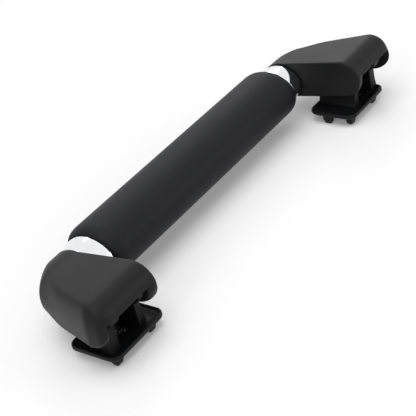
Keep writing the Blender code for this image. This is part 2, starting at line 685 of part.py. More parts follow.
def build_buffer(end, side):
    """Soft buffer on top of the neck's back wall, which the folded arm rests on."""
    rear = NECK_BACK - 0.7
    front = NECK_BACK - NECK_BACK_WALL + 0.1
    half = 4.0
    middle = (front + rear) / 2
    base = NECK_REAR_HEIGHT + GAP
    top = edge_height(middle, 1, ARM_SKIN) - GAP - 0.2
    levels = ((base, 0.0), (top - 1.0, 0.0), (top - 0.3, 0.35), (top, 0.9))
    loops = []
    for z, inset in levels:
        x_low = HOLLOW_CENTRE_X - half + inset
        x_high = HOLLOW_CENTRE_X + half - inset
        loops.append([(side * x_high, rear - inset, z), (side * x_low, rear - inset, z),
                      (side * x_low, front + inset, z), (side * x_high, front + inset, z)])
    add_object("rest_buffer_" + end, skin(loops), BUFFER_RUBBER,
               (side * HOLLOW_CENTRE_X, middle, base), roof_frame)


ENDS = (("near", -1), ("far", 1))

roof_frame = add_empty("roof_frame", (0, 0, 0))
handle_pivot = add_empty("handle_pivot", (0, HINGE_Y, HINGE_Z))

build_bar()
for end_name, end_side in ENDS:
    build_arm(end_name, end_side)
    build_ring(end_name, end_side)
    build_bracket(end_name, end_side)
    build_hinge(end_name, end_side)
    build_fixing_bush(end_name, end_side)
    build_arm_screw(end_name, end_side)
    build_buffer(end_name, end_side)
build_spring(-1)
build_damper(1)
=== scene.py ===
# %% [markdown]
# # A folding roof grab handle
#
# The handle hangs over a car door: a soft sleeve on a metal tube, two plastic arms that fold on
# hinge pins, and two brackets that are screwed to the roof. The imported CAD model is loaded first.
# Shapes are written in millimetres and scaled by MM. The floor and the lamps are in metres.

import math

import bmesh
import bpy
from mathutils import Matrix, Vector


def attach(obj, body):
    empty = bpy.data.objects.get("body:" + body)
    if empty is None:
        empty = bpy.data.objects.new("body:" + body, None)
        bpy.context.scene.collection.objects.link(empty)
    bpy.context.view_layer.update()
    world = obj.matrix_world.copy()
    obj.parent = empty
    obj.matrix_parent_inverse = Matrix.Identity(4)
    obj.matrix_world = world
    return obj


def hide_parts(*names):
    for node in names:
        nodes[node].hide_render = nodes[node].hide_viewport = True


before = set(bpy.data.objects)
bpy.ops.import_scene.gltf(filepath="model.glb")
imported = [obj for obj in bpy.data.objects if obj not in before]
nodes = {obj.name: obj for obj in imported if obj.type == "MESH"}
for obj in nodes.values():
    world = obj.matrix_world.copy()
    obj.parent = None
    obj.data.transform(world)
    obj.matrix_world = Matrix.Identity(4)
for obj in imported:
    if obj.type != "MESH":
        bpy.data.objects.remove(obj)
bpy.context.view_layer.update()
MM = 0.001

# %% [markdown]
# The camera stands where the photographer stood, as far as the handle's proportions tell. Its
# place and its turn come from fitting the handle's edges to the photo. The lens and a small
# sideways shift were then trimmed until the outlines met as well as they could.

# %% Camera
CAMERA_PLACE = Vector((-339.07, -280.60, 282.67)) * MM
CAMERA_LENS = 103.00
CAMERA_SHIFT = -0.0010
SENSOR_WIDTH = 36.0
VIEW_RIGHT = Vector((0.5560, -0.8081, -0.1947))
VIEW_FORWARD = Vector((0.6313, 0.5629, -0.5335)).normalized()
VIEW_RIGHT = (VIEW_RIGHT - VIEW_FORWARD * VIEW_RIGHT.dot(VIEW_FORWARD)).normalized()
VIEW_UP = VIEW_RIGHT.cross(VIEW_FORWARD)

camera_data = bpy.data.cameras.new("photo_camera")
camera_data.lens = CAMERA_LENS
camera_data.shift_x = CAMERA_SHIFT
camera_data.sensor_width = SENSOR_WIDTH
camera = bpy.data.objects.new("photo_camera", camera_data)
turn = Matrix((VIEW_RIGHT, VIEW_UP, -VIEW_FORWARD)).transposed()
camera.matrix_world = Matrix.Translation(CAMERA_PLACE) @ turn.to_4x4()
bpy.context.scene.collection.objects.link(camera)
bpy.context.scene.camera = camera
bpy.context.scene.view_settings.view_transform = "Standard"
print("camera", [round(v, 3) for v in CAMERA_PLACE])

# %% [markdown]
# Modelling by hand in Blender means selecting something and running a tool on it. These helpers do
# the same in code: they clear the old selection, open a piece in edit mode, apply a modifier, or
# make a mirrored copy for the other end of the handle.

# %% Helpers for hand modelling
def to_object_mode():
    if bpy.context.mode != "OBJECT":
        bpy.ops.object.mode_set(mode="OBJECT")
    bpy.ops.object.select_all(action="DESELECT")


def activate(obj):
    to_object_mode()
    obj.select_set(True)
    bpy.context.view_layer.objects.active = obj


def open_for_editing(obj, kind="FACE"):
    activate(obj)
    bpy.ops.object.mode_set(mode="EDIT")
    bpy.ops.mesh.select_mode(type=kind)
    bpy.ops.mesh.select_all(action="DESELECT")


def settle(obj, smooth_degrees=35.0):
    """Puts the origin at the world origin, leaves the shape where it is and smooths soft edges."""
    activate(obj)
    bpy.ops.object.transform_apply(location=True, rotation=True, scale=True)
    bpy.ops.object.shade_smooth_by_angle(angle=math.radians(smooth_degrees))
    to_object_mode()


def apply_modifier(obj, kind, **settings):
    activate(obj)
    modifier = obj.modifiers.new(kind.title(), kind)
    for name, value in settings.items():
        setattr(modifier, name, value)
    bpy.ops.object.modifier_apply(modifier=modifier.name)


def mirrored_copy(obj, name):
    """A copy of a piece for the other end of the handle, with its own mesh and outward faces."""
    copy = obj.copy()
    copy.data = obj.data.copy()
    copy.name = name
    bpy.context.scene.collection.objects.link(copy)
    open_for_editing(copy)
    bpy.ops.mesh.select_all(action="SELECT")
    bpy.ops.transform.resize(value=(-1, 1, 1), center_override=(0, 0, 0))
    bpy.ops.mesh.normals_make_consistent(inside=False)
    to_object_mode()
    return copy


# %% [markdown]
# Every finish is a small network of nodes. Two noise textures are enough for moulded plastic and
# rubber: a broad one shifts the colour and the gloss a little, as handling and moulding do, and a
# fine one raises the grain. All of them read Object coordinates, in metres, so a scale of 1000 puts
# about one feature on each millimetre.

# %% Material helpers
PER_METRE = 1000
NOISE_LOW, NOISE_HIGH = 0.3, 0.7
EDGE_POINTINESS = (0.52, 0.60)
EDGE_LIGHTER = 3.5
METAL_BROAD, METAL_FINE = 0.15, 2.5


def node(tree, kind, **sockets):
    made = tree.nodes.new(kind)
    for name, value in sockets.items():
        key = name.replace("_", " ")
        if key in made.inputs:
            made.inputs[key].default_value = value
        else:
            setattr(made, name, value)
    return made


def grain(tree, place, features_per_mm, detail=3.0, roughness=0.55):
    noise = node(tree, "ShaderNodeTexNoise", Scale=features_per_mm * PER_METRE, Detail=detail,
                 Roughness=roughness)
    tree.links.new(place, noise.inputs["Vector"])
    return noise.outputs["Fac"]


def span(tree, value, low, high, source_low=NOISE_LOW, source_high=NOISE_HIGH):
    """Maps a value onto the range from low to high."""
    remap = node(tree, "ShaderNodeMapRange")
    remap.inputs["From Min"].default_value = source_low
    remap.inputs["From Max"].default_value = source_high
    remap.inputs["To Min"].default_value = low
    remap.inputs["To Max"].default_value = high
    tree.links.new(value, remap.inputs["Value"])
    return remap.outputs["Result"]


def two_tone(tree, factor, dark, light):
    mix = node(tree, "ShaderNodeMix", data_type="RGBA")
    tree.links.new(factor, mix.inputs[0])
    mix.inputs[6].default_value = (*dark, 1.0)
    mix.inputs[7].default_value = (*light, 1.0)
    return mix.outputs[2]


def raised(tree, height, depth_mm, strength):
    bump = node(tree, "ShaderNodeBump", Strength=strength, Distance=depth_mm * MM)
    tree.links.new(height, bump.inputs["Height"])
    return bump.outputs["Normal"]


def new_finish(name):
    finish = bpy.data.materials.new(name)
    finish.use_nodes = True
    tree = finish.node_tree
    place = tree.nodes.new("ShaderNodeTexCoord").outputs["Object"]
    return finish, tree, tree.nodes["Principled BSDF"], place


def moulded(name, dark, light, gloss, broad, fine, depth_mm, strength, specular=0.5,
            edge_gain=0.0):
    """A moulded plastic or rubber.

    gloss is the range of roughness, and broad and fine are in features per millimetre.
    """
    finish, tree, shader, place = new_finish(name)
    wander = grain(tree, place, broad)
    pits = grain(tree, place, fine, detail=2.0)
    colour = two_tone(tree, span(tree, wander, 0.0, 1.0), dark, light)
    if edge_gain:
        corner = tree.nodes.new("ShaderNodeNewGeometry").outputs["Pointiness"]
        worn = span(tree, corner, 0.0, edge_gain, *EDGE_POINTINESS)
        mix = node(tree, "ShaderNodeMix", data_type="RGBA")
        tree.links.new(worn, mix.inputs[0])
        tree.links.new(colour, mix.inputs[6])
        mix.inputs[7].default_value = (*[min(1.0, c * EDGE_LIGHTER) for c in light], 1.0)
        colour = mix.outputs[2]
    tree.links.new(colour, shader.inputs["Base Color"])
    tree.links.new(span(tree, wander, *gloss), shader.inputs["Roughness"])
    tree.links.new(raised(tree, pits, depth_mm, strength), shader.inputs["Normal"])
    shader.inputs["Specular IOR Level"].default_value = specular
    return finish


def metal(name, colour_dark, colour_light, gloss, depth_mm, strength,
          streak=(1.0, 1.0, 1.0)):
    """A bare or plated metal with fine streaks along one way, from turning or drawing."""
    finish, tree, shader, place = new_finish(name)
    stretch = node(tree, "ShaderNodeMapping")
    stretch.inputs["Scale"].default_value = streak
    tree.links.new(place, stretch.inputs["Vector"])
    wander = grain(tree, place, METAL_BROAD)
    lines = grain(tree, stretch.outputs["Vector"], METAL_FINE, detail=2.0)
    tree.links.new(two_tone(tree, span(tree, wander, 0.0, 1.0), colour_dark, colour_light),
                   shader.inputs["Base Color"])
    tree.links.new(span(tree, lines, *gloss), shader.inputs["Roughness"])
    tree.links.new(raised(tree, lines, depth_mm, strength), shader.inputs["Normal"])
    shader.inputs["Metallic"].default_value = 1.0
    return finish


# %% Finishes
ARM_FINISH = moulded("satin_moulded_plastic", (0.0110, 0.0111, 0.0114), (0.0140, 0.0142, 0.0147),
                     (0.38, 0.46), 0.06, 2.6, 0.05, 0.30, specular=0.15, edge_gain=0.1)
GRIP_FINISH = moulded("soft_touch_rubber", (0.0125, 0.0128, 0.0150), (0.0155, 0.0158, 0.0185),
                      (0.48, 0.56), 0.05, 3.2, 0.06, 0.40, specular=0.12)
BRACKET_FINISH = moulded("glass_filled_nylon", (0.0050, 0.0052, 0.0060), (0.0070, 0.0073, 0.0082),
                         (0.34, 0.46), 0.10, 2.0, 0.05, 0.30, specular=0.15, edge_gain=0.1)
BUFFER_FINISH = moulded("buffer_rubber", (0.012, 0.012, 0.012), (0.020, 0.020, 0.020),
                        (0.75, 0.85), 0.20, 2.5, 0.05, 0.5)
ACETAL_FINISH = moulded("black_acetal", (0.010, 0.010, 0.011), (0.014, 0.014, 0.015),
                        (0.32, 0.42), 0.15, 2.0, 0.02, 0.2)
CHROME_FINISH = metal("bright_chrome", (0.80, 0.81, 0.83), (0.86, 0.87, 0.88), (0.05, 0.10),
                      0.004, 0.08, (4.0, 0.4, 0.4))
STEEL_FINISH = metal("zinc_plated_steel", (0.50, 0.51, 0.53), (0.62, 0.63, 0.65), (0.28, 0.42),
                     0.01, 0.3)
# The steel painted black is painted shade: plated pins, spring and fixing bushes darkened to stand
# for the shade in the hollows where they sit.
SHADE_PAINTED_STEEL_FINISH = metal("steel_painted_black_as_shade", (0.020, 0.020, 0.022), (0.035, 0.035, 0.037),
                          (0.40, 0.55), 0.01, 0.3)
TUBE_FINISH = metal("drawn_aluminium", (0.58, 0.59, 0.61), (0.66, 0.67, 0.69), (0.30, 0.42),
                    0.01, 0.3, (0.2, 3.0, 3.0))

# %% [markdown]
# The CAD nodes whose shape is already right keep their meshes and only change finish: the tube,
# pins, bushes, screws, buffers, damper and spring. The pins, the spring and the fixing bushes are
# painted black here, as painted shade: only shade shows in the hollows where they sit.

# %% Finishes on the CAD nodes
# The spring, the hinge pins and the fixing bushes get the steel painted black, as painted shade.
NODE_FINISH = {
    "core_tube": TUBE_FINISH, "return_spring": SHADE_PAINTED_STEEL_FINISH,
    "damper_cup": BRACKET_FINISH, "damper_rotor": ACETAL_FINISH,
}
for end in ("near", "far"):
    NODE_FINISH.update({
        f"hinge_pin_{end}": SHADE_PAINTED_STEEL_FINISH, f"fixing_bush_{end}": SHADE_PAINTED_STEEL_FINISH,
        f"arm_screw_{end}": STEEL_FINISH, f"rest_buffer_{end}": BUFFER_FINISH,
        f"hinge_bush_inboard_{end}": ACETAL_FINISH,
        f"hinge_bush_outboard_{end}": ACETAL_FINISH,
    })
for name, finish in NODE_FINISH.items():
    mesh = nodes[name].data
    for index in range(len(mesh.materials)):
        mesh.materials[index] = finish
    if not mesh.materials:
        mesh.materials.append(finish)
print("finished CAD nodes:", len(NODE_FINISH))

# %% [markdown]
# ## Lofts
#
# Most of this handle is made of soft sections that change along a path: ovals along the bar,
# rounded rectangles along an arm. By hand such a shape is drawn as one ring of corners, extruded
# station by station, and each new ring is moved onto its own section. `loft` does exactly that.

# %% Loft helper
MERGE_DISTANCE = 1e-7


def loft(name, sections, closed=False):
    """Extrudes a ring through sections of (x, y, z) points in millimetres.

    The ends are filled, or merged where the loft is closed.
    """
    to_object_mode()
    corners = len(sections[0])
    bpy.ops.mesh.primitive_circle_add(vertices=corners, radius=1.0 * MM, fill_type="NOTHING")
    obj = bpy.context.object
    obj.name = name
    open_for_editing(obj, "EDGE")
    bpy.ops.mesh.select_all(action="SELECT")
    ring = list(range(corners))
    for station, section in enumerate(sections):
        if station:
            bpy.ops.mesh.extrude_edges_move(TRANSFORM_OT_translate={"value": (0, 0, 0)})
        mesh = bmesh.from_edit_mesh(obj.data)
        mesh.verts.ensure_lookup_table()
        if station:
            first_new = station * corners
            ring = [next(edge.other_vert(mesh.verts[i]).index for edge in mesh.verts[i].link_edges
                         if edge.other_vert(mesh.verts[i]).index >= first_new) for i in ring]
        for index, point in zip(ring, section):
            mesh.verts[index].co = Vector(point) * MM
        bmesh.update_edit_mesh(obj.data)
    bpy.ops.mesh.select_all(action="SELECT")
    if closed:
        bpy.ops.mesh.remove_doubles(threshold=MERGE_DISTANCE)
    else:
        bpy.ops.mesh.fill_holes(sides=0)
    bpy.ops.mesh.select_all(action="SELECT")
    bpy.ops.mesh.normals_make_consistent(inside=False)
    to_object_mode()
    return obj


def arc_points(centre, radius, start, end, steps):
    """Points on an arc, given as (across, up) pairs; angles in degrees."""
    return [(centre[0] + radius * math.cos(math.radians(start + (end - start) * i / steps)),
             centre[1] + radius * math.sin(math.radians(start + (end - start) * i / steps)))
            for i in range(steps + 1)]


def oval(wide, high, points=96):
    """An oval round the bar's axis, as (y, z) pairs."""
    turns = [2 * math.pi * i / points for i in range(points)]
    return [(BAR_Y + wide * math.cos(a), BAR_Z + high * math.sin(a)) for a in turns]


def cut_with(obj, tool, operation="DIFFERENCE"):
    apply_modifier(obj, "BOOLEAN", operation=operation, solver="EXACT", object=tool)
    bpy.data.objects.remove(tool)


# %% Shared sizes, in millimetres
BAR_Y = 26.7
BAR_Z = 17.6
GAP = 0.3
HINGE_Y = -6.9
HINGE_Z = 22.3
NOSE_RADIUS = 9.05
NOSE_IN_X = 80.3
NOSE_OUT_X = 113.48
INNER_SPLAY = 0.015
OUTER_TAPER = 0.325
ELBOW_Y = 25.8
ELBOW_Z = 18.1
ELBOW_HALF_HEIGHT = 9.05
ELBOW_HALF_LENGTH = 11.35
END_Y = ELBOW_Y + ELBOW_HALF_LENGTH
CORNER_START = 33.5
CORNER_DROP = 17.4
CORNER_SHAPE = 1.32
NOSE_EDGE = 0.6
NOSE_ROLL = 1.2
NOSE_CORNER = 4.4


def nose_pull(y, radius):
    """How far an arm's side draws in at y, where it is rounded off with radius at the nose."""
    short = HINGE_Y - NOSE_RADIUS + radius - y
    return radius - math.sqrt(max(radius ** 2 - short ** 2, 0.0)) if short > 0 else 0.0


def inner_face(y):
    """x of the arm's flat face beside the bar."""
    return NOSE_IN_X - INNER_SPLAY * (y - HINGE_Y) + nose_pull(y, NOSE_EDGE)


# %% [markdown]
# ## The sleeve
#
# The sleeve is a soft oval tube with rolled-in ends. Each end rolls over a quarter of an ellipse,
# so it is one loft of ovals whose size follows that curve, out along the bar and back through the
# bore.

# %% Soft sleeve
BORE = oval(8.9, 6.0)
GRIP_WIDE = 15.1
GRIP_HIGH = 11.9
GRIP_END = 69.85
ROLL_LENGTH = 5.5
ROLL_DROP = 2.4
ROLL_STEPS = 12
SLEEVE_STATIONS = (-50, -30, -10, 10, 30, 50)


def flat(x, ring):
    """A section square to the bar at x."""
    return [(x, y, z) for y, z in ring]


roll = []
for step in range(ROLL_STEPS + 1):
    angle = math.pi / 2 * step / ROLL_STEPS
    drop = ROLL_DROP * (1 - math.sin(angle))
    roll.append((GRIP_END - ROLL_LENGTH * (1 - math.cos(angle)),
                 oval(GRIP_WIDE - drop, GRIP_HIGH - drop)))
stations = [flat(-GRIP_END, BORE)]
stations += [flat(-x, ring) for x, ring in roll]
stations += [flat(x, roll[-1][1]) for x in SLEEVE_STATIONS]
stations += [flat(x, ring) for x, ring in roll[::-1]]
stations += [flat(GRIP_END, BORE), flat(-GRIP_END, BORE)]
sleeve = loft("soft_sleeve", stations, closed=True)
sleeve.data.materials.append(GRIP_FINISH)
settle(sleeve, 50)
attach(sleeve, "handle")
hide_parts("grip_sleeve")
print("sleeve faces:", len(sleeve.data.polygons))

# %% [markdown]
# ## The bright rings
#
# A short conical ferrule fills the space between the sleeve and each arm. It is wide at the sleeve,
# narrows towards the arm and ends in a small rolled edge, parallel to the arm's face and RING_GAP
# short of it.

# %% Bright rings
RING_START = 70.2
RING_AT_SLEEVE = (12.7, 9.6)
RING_AT_ARM = (10.8, 8.95)
RING_EDGE = 0.4
RING_GAP = 0.8
RING_EDGE_STEPS = 5


def against_arm(ring, inset):
    """A section that stays parallel to the arm's face, the inset short of it."""
    return [(inner_face(y) - RING_GAP - inset, y, z) for y, z in ring]


stations = [flat(RING_START, BORE)]
for back, rise in arc_points((RING_EDGE, RING_EDGE), RING_EDGE, 180, 90,
                             RING_EDGE_STEPS):
    stations.append(flat(RING_START + back,
                         oval(RING_AT_SLEEVE[0] - 2 * RING_EDGE + rise,
                              RING_AT_SLEEVE[1] - 2 * RING_EDGE + rise)))
for back, rise in arc_points((RING_EDGE, RING_EDGE), RING_EDGE, 90, 180,
                             RING_EDGE_STEPS):
    stations.append(against_arm(oval(RING_AT_ARM[0] - 2 * RING_EDGE + rise,
                                     RING_AT_ARM[1] - 2 * RING_EDGE + rise), back))
stations += [against_arm(BORE, 0.0), flat(RING_START, BORE)]
ring_far = loft("bright_ring_far", stations, closed=True)
ring_far.data.materials.append(CHROME_FINISH)
settle(ring_far, 40)
ring_near = mirrored_copy(ring_far, "bright_ring_near")
for ring, end in ((ring_near, "near"), (ring_far, "far")):
    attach(ring, "handle")
    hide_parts("trim_ring_" + end)

# %% [markdown]
# ## The arms
#
# Seen from the side an arm is a slab: a round nose over the hinge pin, two straight lines that
# slope down to the bar, and an oval elbow. Seen from above its inner face is straight, its outer
# side tapers, and a big round corner closes it. Across, it is a rectangle whose edges are rounded
# each in its own way. Beside the bar the upper edge is a crisp crease that softens towards the
# nose. Outside, an oval shoulder above and a small skirt below both grow until the elbow is round.

# %% Arm: side and plan outlines
def slab_line(sign, inset=0.0):
    """The straight top (1) or underside (-1): where it leaves the nose, its end, its angle."""
    nose = NOSE_RADIUS - inset
    end = Vector((ELBOW_Y, ELBOW_Z + sign * (ELBOW_HALF_HEIGHT - inset)))
    reach = end - Vector((HINGE_Y, HINGE_Z))
    angle = math.atan2(reach.y, reach.x) + sign * math.acos(nose / reach.length)
    touch = Vector((HINGE_Y + nose * math.cos(angle), HINGE_Z + nose * math.sin(angle)))
    return touch, end, math.degrees(angle)


def edge_height(y, sign, inset=0.0):
    touch, end, _ = slab_line(sign, inset)
    if y <= touch.x:
        nose = NOSE_RADIUS - inset
        return HINGE_Z + sign * math.sqrt(max(nose ** 2 - (y - HINGE_Y) ** 2, 0.0))
    if y >= ELBOW_Y:
        share = (y - ELBOW_Y) / (ELBOW_HALF_LENGTH - inset)
        return ELBOW_Z + sign * (ELBOW_HALF_HEIGHT - inset) * math.sqrt(max(1.0 - share ** 2, 0.0))
    return touch.y + (end.y - touch.y) * (y - touch.x) / (end.x - touch.x)


def outer_face(y):
    """x of the arm's outer side, which tapers and then turns in round the big corner."""
    start = HINGE_Y + CORNER_START
    travel = min(max((y - start) / (END_Y - start), 0.0), 1.0)
    drop = CORNER_DROP * (1.0 - (1.0 - travel ** CORNER_SHAPE) ** (1.0 / CORNER_SHAPE))
    taper = OUTER_TAPER * max(0.0, y - HINGE_Y)
    return NOSE_OUT_X - taper - drop - nose_pull(y, NOSE_CORNER)


# %% Arm: cross-section
CREASE = 0.5
SHOULDER = (3.8, 12.5)
SKIRT = 1.9
INNER_SKIRT = 0.8
GROWTH = 24.0
EDGE_STEPS = 12
SIDE_SHARES = (0.07, 0.5, 0.93)
GROWTH_SHARE = 0.75
ROLL_FADE = 3.0
# The most of the height that a lower and an upper edge may take, and how growth changes it. The two
# never add up to more than 1, or a section would cross itself.
LOW_SHARE, LOW_SHARE_GAIN = 0.26, 0.21
HIGH_SHARE, HIGH_SHARE_LOSS = 0.72, 0.25
WIDTH_SHARE = 0.42


def grown(radii, growth):
    """The radii across and up of an edge, on their way to the fully round elbow."""
    return [radius + (ELBOW_HALF_HEIGHT - radius) * growth for radius in radii]


def arm_section(y):
    top, bottom = edge_height(y, 1), edge_height(y, -1)
    low_x, high_x = inner_face(y), outer_face(y)
    back = min(max((BAR_Y - ROLL_FADE - y) / (BAR_Y - HINGE_Y), 0.0), 1.0)
    growth = min(max((y - END_Y + GROWTH) / (GROWTH_SHARE * GROWTH), 0.0), 1.0)
    growth = growth * growth * (3.0 - 2.0 * growth)
    height, limit_across = top - bottom, WIDTH_SHARE * (high_x - low_x)
    low_share = LOW_SHARE + LOW_SHARE_GAIN * growth
    high_share = HIGH_SHARE - HIGH_SHARE_LOSS * growth
    crease = CREASE + (NOSE_ROLL - CREASE) * back ** 2
    edges = ((low_x, bottom, (INNER_SKIRT, INNER_SKIRT), low_share, 180),
             (high_x, bottom, grown((SKIRT, SKIRT), growth), low_share, 270),
             (high_x, top, grown(SHOULDER, growth), high_share, 0),
             (low_x, top, (crease, crease), high_share, 90))
    arcs = []
    for x, z, (across, up), share, start in edges:
        across, up = min(across, limit_across), min(up, share * height)
        centre_x = x + across * (1 if x == low_x else -1)
        centre_z = z + up * (1 if z == bottom else -1)
        arcs.append([(centre_x + across * a, centre_z + up * b)
                     for a, b in arc_points((0, 0), 1.0, start, start + 90, EDGE_STEPS)])
    points = []
    for here, following in zip(arcs, arcs[1:] + arcs[:1]):
        points += here
        end, begin = Vector(here[-1]), Vector(following[0])
        points += [tuple(end.lerp(begin, share)) for share in SIDE_SHARES]
    return [(x, y, z) for x, z in points]


NOSE_ANGLES = (2, 5, 9, 13, 18, 23, 28, 34, 40, 46, 52, 58, 64, 70, 76, 83, 90)
BODY_STEPS = 20
ELBOW_ANGLES = (0, 5, 10, 15, 20, 25, 30, 35, 40, 45, 50, 55, 60, 64, 68, 72, 75, 78, 81, 84)

stations = [HINGE_Y - NOSE_RADIUS * math.cos(math.radians(angle)) for angle in NOSE_ANGLES]
stations += [HINGE_Y + (ELBOW_Y - HINGE_Y) * i / BODY_STEPS for i in range(1, BODY_STEPS)]
stations += [ELBOW_Y + ELBOW_HALF_LENGTH * math.sin(math.radians(angle)) for angle in ELBOW_ANGLES]
arm_far = loft("hooded_arm_far", [arm_section(y) for y in stations])
print("arm faces:", len(arm_far.data.polygons))

# %% [markdown]
# The arm is hollow over the hinge. The hollow's roof follows the nose at the thickness of the
# skin, and it opens below and at the front, under a lip. The cut-out tools are lofts too: a side
# view of the hollow pulled from one cheek to the other, an oval for the tube, and round rods for
# the pin and the screw.

# %% Arm: the hollow, the bore and the holes
ARM_SKIN = 2.6
INNER_CHEEK = 4.9
OUTER_CHEEK = 2.8
OUTER_CHEEK_REAR = 2.3
POCKET_END = 20.8
LIP_ANGLE = 12
HOLLOW_LOW = 2.0
HOLLOW_AHEAD = 3.0
TUBE_REACH = 7.0
TUBE_END_X = inner_face(BAR_Y) + TUBE_REACH
BORE_TOOL_START = 72.0
PIN_RADIUS = 2.5
PIN_GAP = 0.15
PIN_SEAT = 1.9
SCREW_INSET = 3.2
SCREW_X = TUBE_END_X - SCREW_INSET
SCREW_HEAD_RADIUS = 2.9
SCREW_RADIUS = 1.6
SCREW_HEAD_LEVELS = (-3.0, 1.6)
SCREW_SHANK_LEVEL = 1.61


def pocket_outer_wall(y):
    front, rear = HINGE_Y - NOSE_RADIUS, HINGE_Y + POCKET_END
    front_x, rear_x = NOSE_OUT_X - OUTER_CHEEK, outer_face(rear) - OUTER_CHEEK_REAR
    return front_x + (rear_x - front_x) * (y - front) / (rear - front)


rear = HINGE_Y + POCKET_END
lip_z = HINGE_Z + NOSE_RADIUS * math.sin(math.radians(LIP_ANGLE))
front = HINGE_Y - NOSE_RADIUS - HOLLOW_AHEAD
hollow = ([(rear, HOLLOW_LOW), (rear, edge_height(rear, 1, ARM_SKIN))]
          + arc_points((HINGE_Y, HINGE_Z), NOSE_RADIUS - ARM_SKIN, slab_line(1, ARM_SKIN)[2],
                       180 - LIP_ANGLE, 24) + [(front, lip_z), (front, HOLLOW_LOW)])
pocket_in = NOSE_IN_X + INNER_CHEEK
tool = loft("pocket_tool", [[(pocket_in, y, z) for y, z in hollow],
                            [(pocket_outer_wall(y), y, z) for y, z in hollow]])
cut_with(arm_far, tool)


def rod_along_x(name, radius, x_low, x_high, centre, sides=48):
    ring = arc_points(centre, radius, 0, 360, sides)[:-1]
    return loft(name, [flat(x_low, ring), flat(x_high, ring)])


def rod_along_z(name, levels, centre, sides=48):
    """A rod through (z, radius) levels."""
    return loft(name, [[(x, y, z) for x, y in arc_points(centre, radius, 0, 360, sides)[:-1]]
                       for z, radius in levels])


cut_with(arm_far, loft("bore_tool", [flat(BORE_TOOL_START, BORE), flat(TUBE_END_X + GAP, BORE)]))
cut_with(arm_far, rod_along_x("pin_tool", PIN_RADIUS + PIN_GAP, pocket_in - PIN_SEAT,
                              pocket_outer_wall(HINGE_Y) + PIN_SEAT, (HINGE_Y, HINGE_Z)))
underside = edge_height(BAR_Y, -1)
screw_levels = [(underside + level, SCREW_HEAD_RADIUS) for level in SCREW_HEAD_LEVELS]
screw_levels += [(underside + SCREW_SHANK_LEVEL, SCREW_RADIUS), (BAR_Z, SCREW_RADIUS)]
cut_with(arm_far, rod_along_z("screw_tool", screw_levels, (SCREW_X, BAR_Y)))
print("arm faces after the cuts:", len(arm_far.data.polygons))

# %% [markdown]
# The inner cheek has a sharp edge beside the bar and a rounded one on the hollow's side, from under
# the lip round the nose and back along the underside. A strip with a concave edge is swept along
# that outline and cut away.

# %% Arm: the rounded rim of the inner cheek
RIM_DEPTH = 2.2
RIM_ACROSS = 3.3
RIM_LEAD = 0.6
RIM_CLEAR = 0.25
RIM_OVERRUN = 0.15
RIM_OUTSIDE = 1.5
RIM_TURNS = range(14, 91, 8)
RIM_NOSE_STEPS = 40
RIM_UNDERSIDE_STEPS = 6
RIM_UNDERSIDE_SHARE = 0.55


def rim_section(y, z, away):
    """The strip's section at an outline point, square to the outline; away points off the arm."""
    curve = [(pocket_in - RIM_ACROSS - RIM_LEAD, RIM_CLEAR)]
    curve += [(pocket_in - RIM_ACROSS * (1 - math.sin(math.radians(turn))),
               -RIM_DEPTH * (1 - math.cos(math.radians(turn)))) for turn in RIM_TURNS]
    curve += [(pocket_in, -RIM_DEPTH), (pocket_in + RIM_OVERRUN, -RIM_DEPTH),
              (pocket_in + RIM_OVERRUN, RIM_OUTSIDE),
              (pocket_in - RIM_ACROSS - RIM_LEAD, RIM_OUTSIDE)]
    return [(x, y + out * math.cos(away), z + out * math.sin(away)) for x, out in curve]


touch, end, under_angle = slab_line(-1)
rim = []
for step in range(RIM_NOSE_STEPS + 1):
    away = math.radians(180 - LIP_ANGLE
                        + (under_angle + 180 + LIP_ANGLE) * step / RIM_NOSE_STEPS)
    rim.append(rim_section(HINGE_Y + NOSE_RADIUS * math.cos(away),
                           HINGE_Z + NOSE_RADIUS * math.sin(away), away))
for step in range(1, RIM_UNDERSIDE_STEPS + 1):
    place = touch.lerp(end, RIM_UNDERSIDE_SHARE * step / RIM_UNDERSIDE_STEPS)
    rim.append(rim_section(place.x, place.y, math.radians(under_angle)))
cut_with(arm_far, loft("rim_tool", rim))
print("arm faces with the rounded rim:", len(arm_far.data.polygons))

# %% Arm: finish and copy
arm_far.data.materials.clear()
arm_far.data.materials.append(ARM_FINISH)
settle(arm_far, 32)
arm_near = mirrored_copy(arm_far, "hooded_arm_near")
for arm, end in ((arm_near, "near"), (arm_far, "far")):
    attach(arm, "handle")
    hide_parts("arm_" + end)

# %% [markdown]
# ## The brackets
#
# A bracket is a shallow rimmed tray on short feet. A neck with two walls and a back stands on it
# and carries the hinge between the arm's cheeks. The tray is a loft of rounded rectangles with a
# rolled rim. The neck's side view is pulled across, trimmed by a tool that gives its walls their
# spread, hollowed out, and joined to the tray. Each bracket is then softened with a narrow bevel.

# %% Bracket sizes
BRACKET_X = 92.0
TRAY_LOW = 17.6
TRAY_HIGH = 14.9
TRAY_FRONT = -13.4
TRAY_REAR = 11.3
TRAY_CORNER = 4.4
FOOT_HEIGHT = 3.9
RIM_TOP = 6.3
RIM_WALL = 1.1
FLOOR_TOP = 5.4
NECK_INNER = 6.4
NECK_OUTER_FRONT = 13.8
NECK_OUTER_REAR = 11.3
NECK_FLARE_HEIGHT = 10.0
NECK_INNER_WALL = 3.2
NECK_OUTER_INSIDE = 9.4
NECK_BACK = 10.6
NECK_BACK_WALL = 2.9
NECK_FRONT = HINGE_Y - 2.1
NECK_TOP = 22.2
BOSS_RADIUS = 6.1
BUSH_BORE = 3.83
HOLE_RADIUS = 4.2
HOLE_Y = -1.2
HOLE_LEVELS = (1.0, 14.0)
